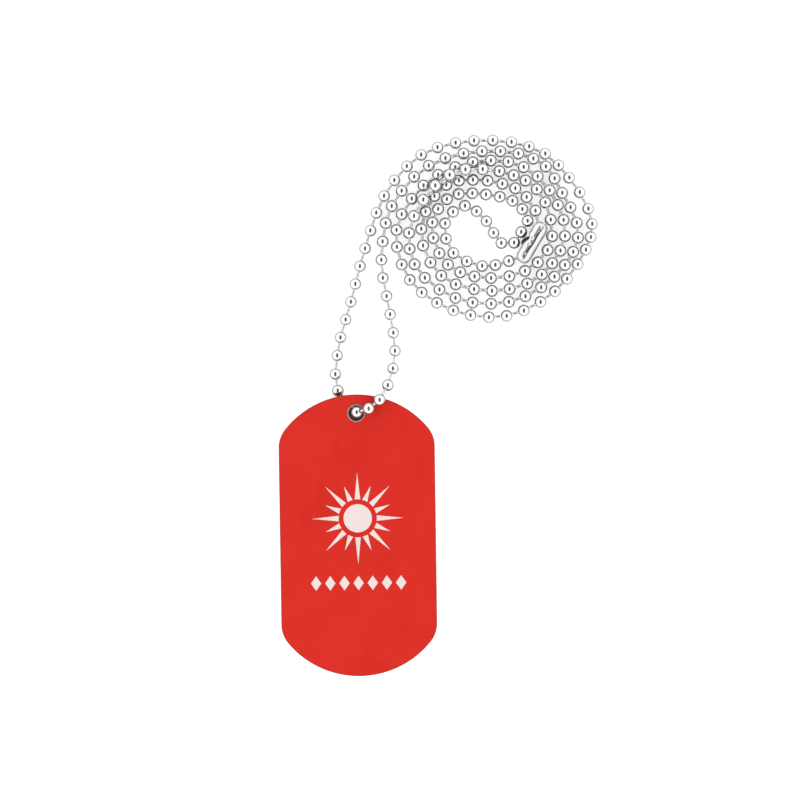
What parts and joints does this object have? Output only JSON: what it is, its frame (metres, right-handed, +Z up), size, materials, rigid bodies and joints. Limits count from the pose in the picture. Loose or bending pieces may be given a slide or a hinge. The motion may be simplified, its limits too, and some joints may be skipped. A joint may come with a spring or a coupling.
{
  "type": "identification tag with ball chain",
  "caption": "Flat round-ended identification tag, red anodised, threaded on a hollow ball chain neck loop that lies coiled beside it and is closed by a slotted sleeve coupling.",
  "frame": {"origin": "middle of the whole thing's box in plan, on the surface that it lies on", "axes": "+Z up from the surface; +Y along the tag from its plain end towards its holed end; +X across the tag, towards the side that the coil lies on"},
  "size_m": [0.0586, 0.0996, 0.0056],
  "materials": {
    "red_anodised": "fine brushed and anodised red, with the chamfer round the hole bare metal",
    "bright_nickel": "bright nickel plate on steel",
    "rolled_steel": "plated rolled sheet"
  },
  "bodies": {
    "root": {"tag_plate": "red_anodised", "chain_to_tag": "bright_nickel", "chain_from_tag": "bright_nickel", "coupling": "rolled_steel"}
  },
  "joints": []
}
